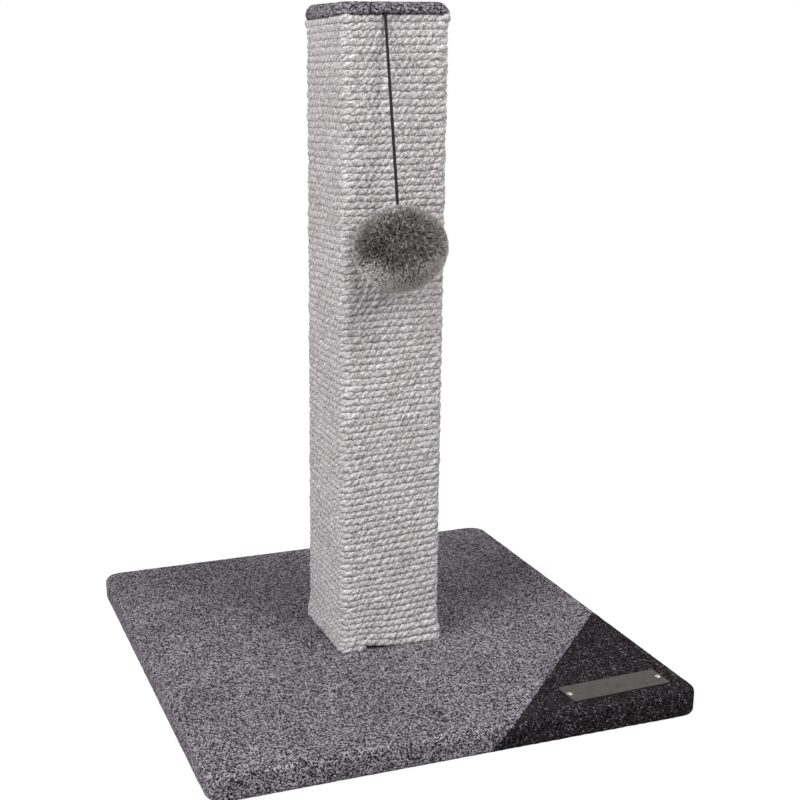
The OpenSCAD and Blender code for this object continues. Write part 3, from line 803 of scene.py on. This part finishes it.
def patches(directions):
    """How light the pile's colour is here, 0 to 1: painted light below and to the right, painted shade on top
    and in the dark spots, and random mottling.
    """
    below = np.clip(-directions[:, 2] - 0.1, 0, 0.45)
    above = np.clip(directions[:, 2] - 0.1, 0, 0.5)
    mottle_and_painted_light = 0.14 * directions[:, 0] + 0.08 * ripple(directions, 0.9, 47)
    mottle_and_painted_light += 0.09 * ripple(directions, 0.22, 48)
    for spot_at, size, depth in painted_dark_spots:
        away = np.linalg.norm(directions - spot_at, axis=1)
        mottle_and_painted_light -= depth * np.exp(-(away / size) ** 2)
    return 0.47 + 1.3 * below - 0.2 * above + mottle_and_painted_light


bpy.ops.mesh.primitive_uv_sphere_add(segments=96, ring_count=60, radius=1)
cover = bpy.context.object
cover.name = cover.data.name = "ball_cover"
deselect()
co = np.array([v.co for v in cover.data.vertices])
size = np.array([ball_r, ball_r, ball_half_h]) - cover_under
lump = 1 + 0.018 * ripple(co, 0.14, 51) + 0.012 * ripple(co, 0.4, 52)
# The cover under the pile takes the same painted light and shade, with random mottling
cover_shade = np.clip(patches(co) + 0.2 * ripple(co, 0.14, 51), 0, 1)
cover.data.vertices.foreach_set("co", ((co * size * lump[:, None]) @ ball_axes + ball_mid).ravel())
cover.data.attributes.new("tip", "FLOAT", "POINT").data.foreach_set("value", [cover_tip] * len(co))
cover.data.attributes.new("shade", "FLOAT", "POINT").data.foreach_set("value", cover_shade)
cover.data.polygons.foreach_set("use_smooth", [True] * len(cover.data.polygons))
cover.data.materials.append(plush)
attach(cover, "ball")
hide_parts("ball_fur", "ball_core")

# The pile is brushed in wide swirls and down, tufts and hairs stray from that, the hairs of a tuft lean
# together at their tips, and they differ at random in tone
random = np.random.default_rng(11)
hairs_all = 72000
tufts_all = 11000
gores = 4
swirl, swirl_size, brushed_down = 0.45, 1.2, 0.3
tuft_stray, hair_stray = 0.19, 0.08
tuft_pull, hair_bend = 0.38, 0.15
tuft_shade, hair_shade = 0.22, 0.12
directions = unit(spread(hairs_all) + random.normal(0, 0.008, (hairs_all, 3)))
tufts = unit(spread(tufts_all) + random.normal(0, 0.009, (tufts_all, 3)))
nearest = np.empty(hairs_all, int)
for start in range(0, hairs_all, 2000):
    nearest[start:start + 2000] = np.argmax(directions[start:start + 2000] @ tufts.T, 1)
full = np.array([ball_r, ball_r, ball_half_h])
combed = np.stack([ripple(tufts, swirl_size, k) for k in (31, 32, 33)], -1) * swirl - brushed_down * UP
combed += random.normal(0, tuft_stray, tufts.shape)
leaning = unit(directions + combed[nearest] + random.normal(0, hair_stray, directions.shape))
root = directions * (full - pile)
tip_at = root + leaning * (pile * random.uniform(0.8, 1.15, hairs_all) * 1.05)[:, None]
middle_of = unit(tufts[nearest] + 0.75 * (combed[nearest] * pile / full[0]))
shell = random.uniform(0.955, 1.0, tufts_all)[nearest] * random.uniform(0.985, 1.0, hairs_all) * fluff_out
tip_at += tuft_pull * (middle_of * full * shell[:, None] - tip_at)
reach = np.linalg.norm(tip_at / full, axis=1)
tip_at *= (shell / reach)[:, None]
# Each hair takes the painted light and shade of its place, and a random tone of its tuft and of its own
shade_of = patches(directions) + random.normal(0, tuft_shade, tufts_all)[nearest]
shade_of = np.clip(shade_of + random.normal(0, hair_shade, hairs_all), 0, 1)

# Each hair is a curved three-sided spike: two rings and a tip
steps = np.array([0, 0.6])
thick = np.array([0.23, 0.18]) * MM

gore_of = (np.arctan2(directions[:, 1], directions[:, 0]) / (2 * math.pi) % 1 * gores).astype(int)
for gore in range(gores):
    mine = np.flatnonzero(gore_of == gore)
    a, b = root[mine], tip_at[mine]
    swell = hair_bend * np.linalg.norm(b - a, axis=1)[:, None] * directions[mine]
    side_1 = unit(np.cross(b - a, random.normal(size=a.shape)))
    side_2 = unit(np.cross(b - a, side_1))
    rings = []
    for t, w in zip(steps, thick):
        centre = a + (b - a) * t + swell * (4 * t * (1 - t))
        for turn in (0, 2 * math.pi / 3, 4 * math.pi / 3):
            rings.append(centre + w * (math.cos(turn) * side_1 + math.sin(turn) * side_2))
    points = np.stack(rings + [b], 1)
    first = (np.arange(len(mine)) * 7)[:, None, None]
    quads = np.array([[k, (k + 1) % 3, 3 + (k + 1) % 3, 3 + k] for k in range(3)])
    tips = np.array([[3 + k, 3 + (k + 1) % 3, 6] for k in range(3)] + [[2, 1, 0]])
    faces = (first + quads).reshape(-1, 4).tolist() + (first + tips).reshape(-1, 3).tolist()
    points = points @ ball_axes + ball_mid
    points[..., 1] = np.minimum(points[..., 1], pressed_to)
    pile_piece = mesh_piece("ball_pile_%d" % (gore + 1), points, faces)
    tip_values = np.tile(np.append(np.repeat(steps, 3), 1.0), len(mine))
    for name, values in (("tip", tip_values), ("shade", np.repeat(shade_of[mine], 7))):
        pile_piece.data.attributes.new(name, "FLOAT", "POINT").data.foreach_set("value", values)
    pile_piece.data.materials.append(plush)
    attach(pile_piece, "ball")
